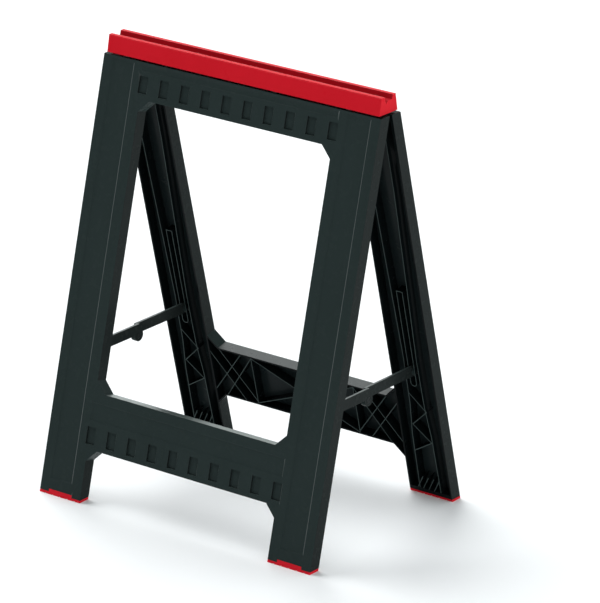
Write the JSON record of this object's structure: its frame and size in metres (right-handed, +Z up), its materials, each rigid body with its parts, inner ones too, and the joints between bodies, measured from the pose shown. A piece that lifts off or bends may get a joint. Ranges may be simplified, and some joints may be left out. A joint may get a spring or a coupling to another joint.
{
  "type": "folding sawhorse",
  "caption": "Folding sawhorse with moulded frame legs hinged under a grooved top rail, held apart by folding side braces, on soft feet.",
  "frame": {"origin": "on the floor, midway between the four feet, under the rail", "axes": "+X along the rail, +Y from the front panel to the back panel, +Z up"},
  "size_m": [0.584, 0.4214, 0.7719],
  "materials": {
    "charcoal_panel": "fine moulded grain, satin",
    "charcoal_link": "fine moulded grain, satin",
    "red_rail": "smooth satin",
    "red_foot": "soft matte",
    "zinc_steel": "bright zinc plate",
    "dark_steel": "blackened"
  },
  "bodies": {
    "rail": {"top_rail": "red_rail", "hinge_rod": "zinc_steel", "left_hinge_cap": "dark_steel", "right_hinge_cap": "dark_steel"},
    "front_leg": {"front_leg_panel": "charcoal_panel", "left_front_foot": "red_foot", "right_front_foot": "red_foot", "left_front_pivot_pin": "dark_steel", "right_front_pivot_pin": "dark_steel"},
    "back_leg": {"back_leg_panel": "charcoal_panel", "left_back_foot": "red_foot", "right_back_foot": "red_foot", "left_back_pivot_pin": "dark_steel", "right_back_pivot_pin": "dark_steel"},
    "left_front_link": {"left_front_brace_link": "charcoal_link", "left_knuckle_pin": "dark_steel"},
    "left_back_link": {"left_back_brace_link": "charcoal_link", "left_knuckle_pin_cap": "dark_steel"},
    "right_front_link": {"right_front_brace_link": "charcoal_link", "right_knuckle_pin": "dark_steel"},
    "right_back_link": {"right_back_brace_link": "charcoal_link", "right_knuckle_pin_cap": "dark_steel"}
  },
  "joints": [
    {"name": "front_leg_fold", "type": "hinge", "parent": "rail", "child": "front_leg", "pos_m": [0, 0, 0.7313], "axis": [1, 0, 0], "range_deg": [0, 13.99]},
    {"name": "back_leg_fold", "type": "hinge", "parent": "rail", "child": "back_leg", "pos_m": [0, 0, 0.7313], "axis": [-1, 0, 0], "range_deg": [0, 13.99]},
    {"name": "left_front_link_fold", "type": "hinge", "parent": "front_leg", "child": "left_front_link", "pos_m": [-0.2475, -0.13459, 0.2455], "axis": [1, 0, 0], "range_deg": [0, 75.11]},
    {"name": "left_back_link_fold", "type": "hinge", "parent": "back_leg", "child": "left_back_link", "pos_m": [-0.2475, 0.13459, 0.2455], "axis": [-1, 0, 0], "range_deg": [0, 75.11]},
    {"name": "right_front_link_fold", "type": "hinge", "parent": "front_leg", "child": "right_front_link", "pos_m": [0.2475, -0.13459, 0.2455], "axis": [1, 0, 0], "range_deg": [0, 75.11]},
    {"name": "right_back_link_fold", "type": "hinge", "parent": "back_leg", "child": "right_back_link", "pos_m": [0.2475, 0.13459, 0.2455], "axis": [-1, 0, 0], "range_deg": [0, 75.11]}
  ],
  "couplings": [
    {"joint": "back_leg_fold", "follows": "front_leg_fold", "ratio": 1},
    {"joint": "left_front_link_fold", "follows": "front_leg_fold", "ratio": 5.3674},
    {"joint": "left_back_link_fold", "follows": "front_leg_fold", "ratio": 5.3674},
    {"joint": "right_front_link_fold", "follows": "front_leg_fold", "ratio": 5.3674},
    {"joint": "right_back_link_fold", "follows": "front_leg_fold", "ratio": 5.3674}
  ]
}
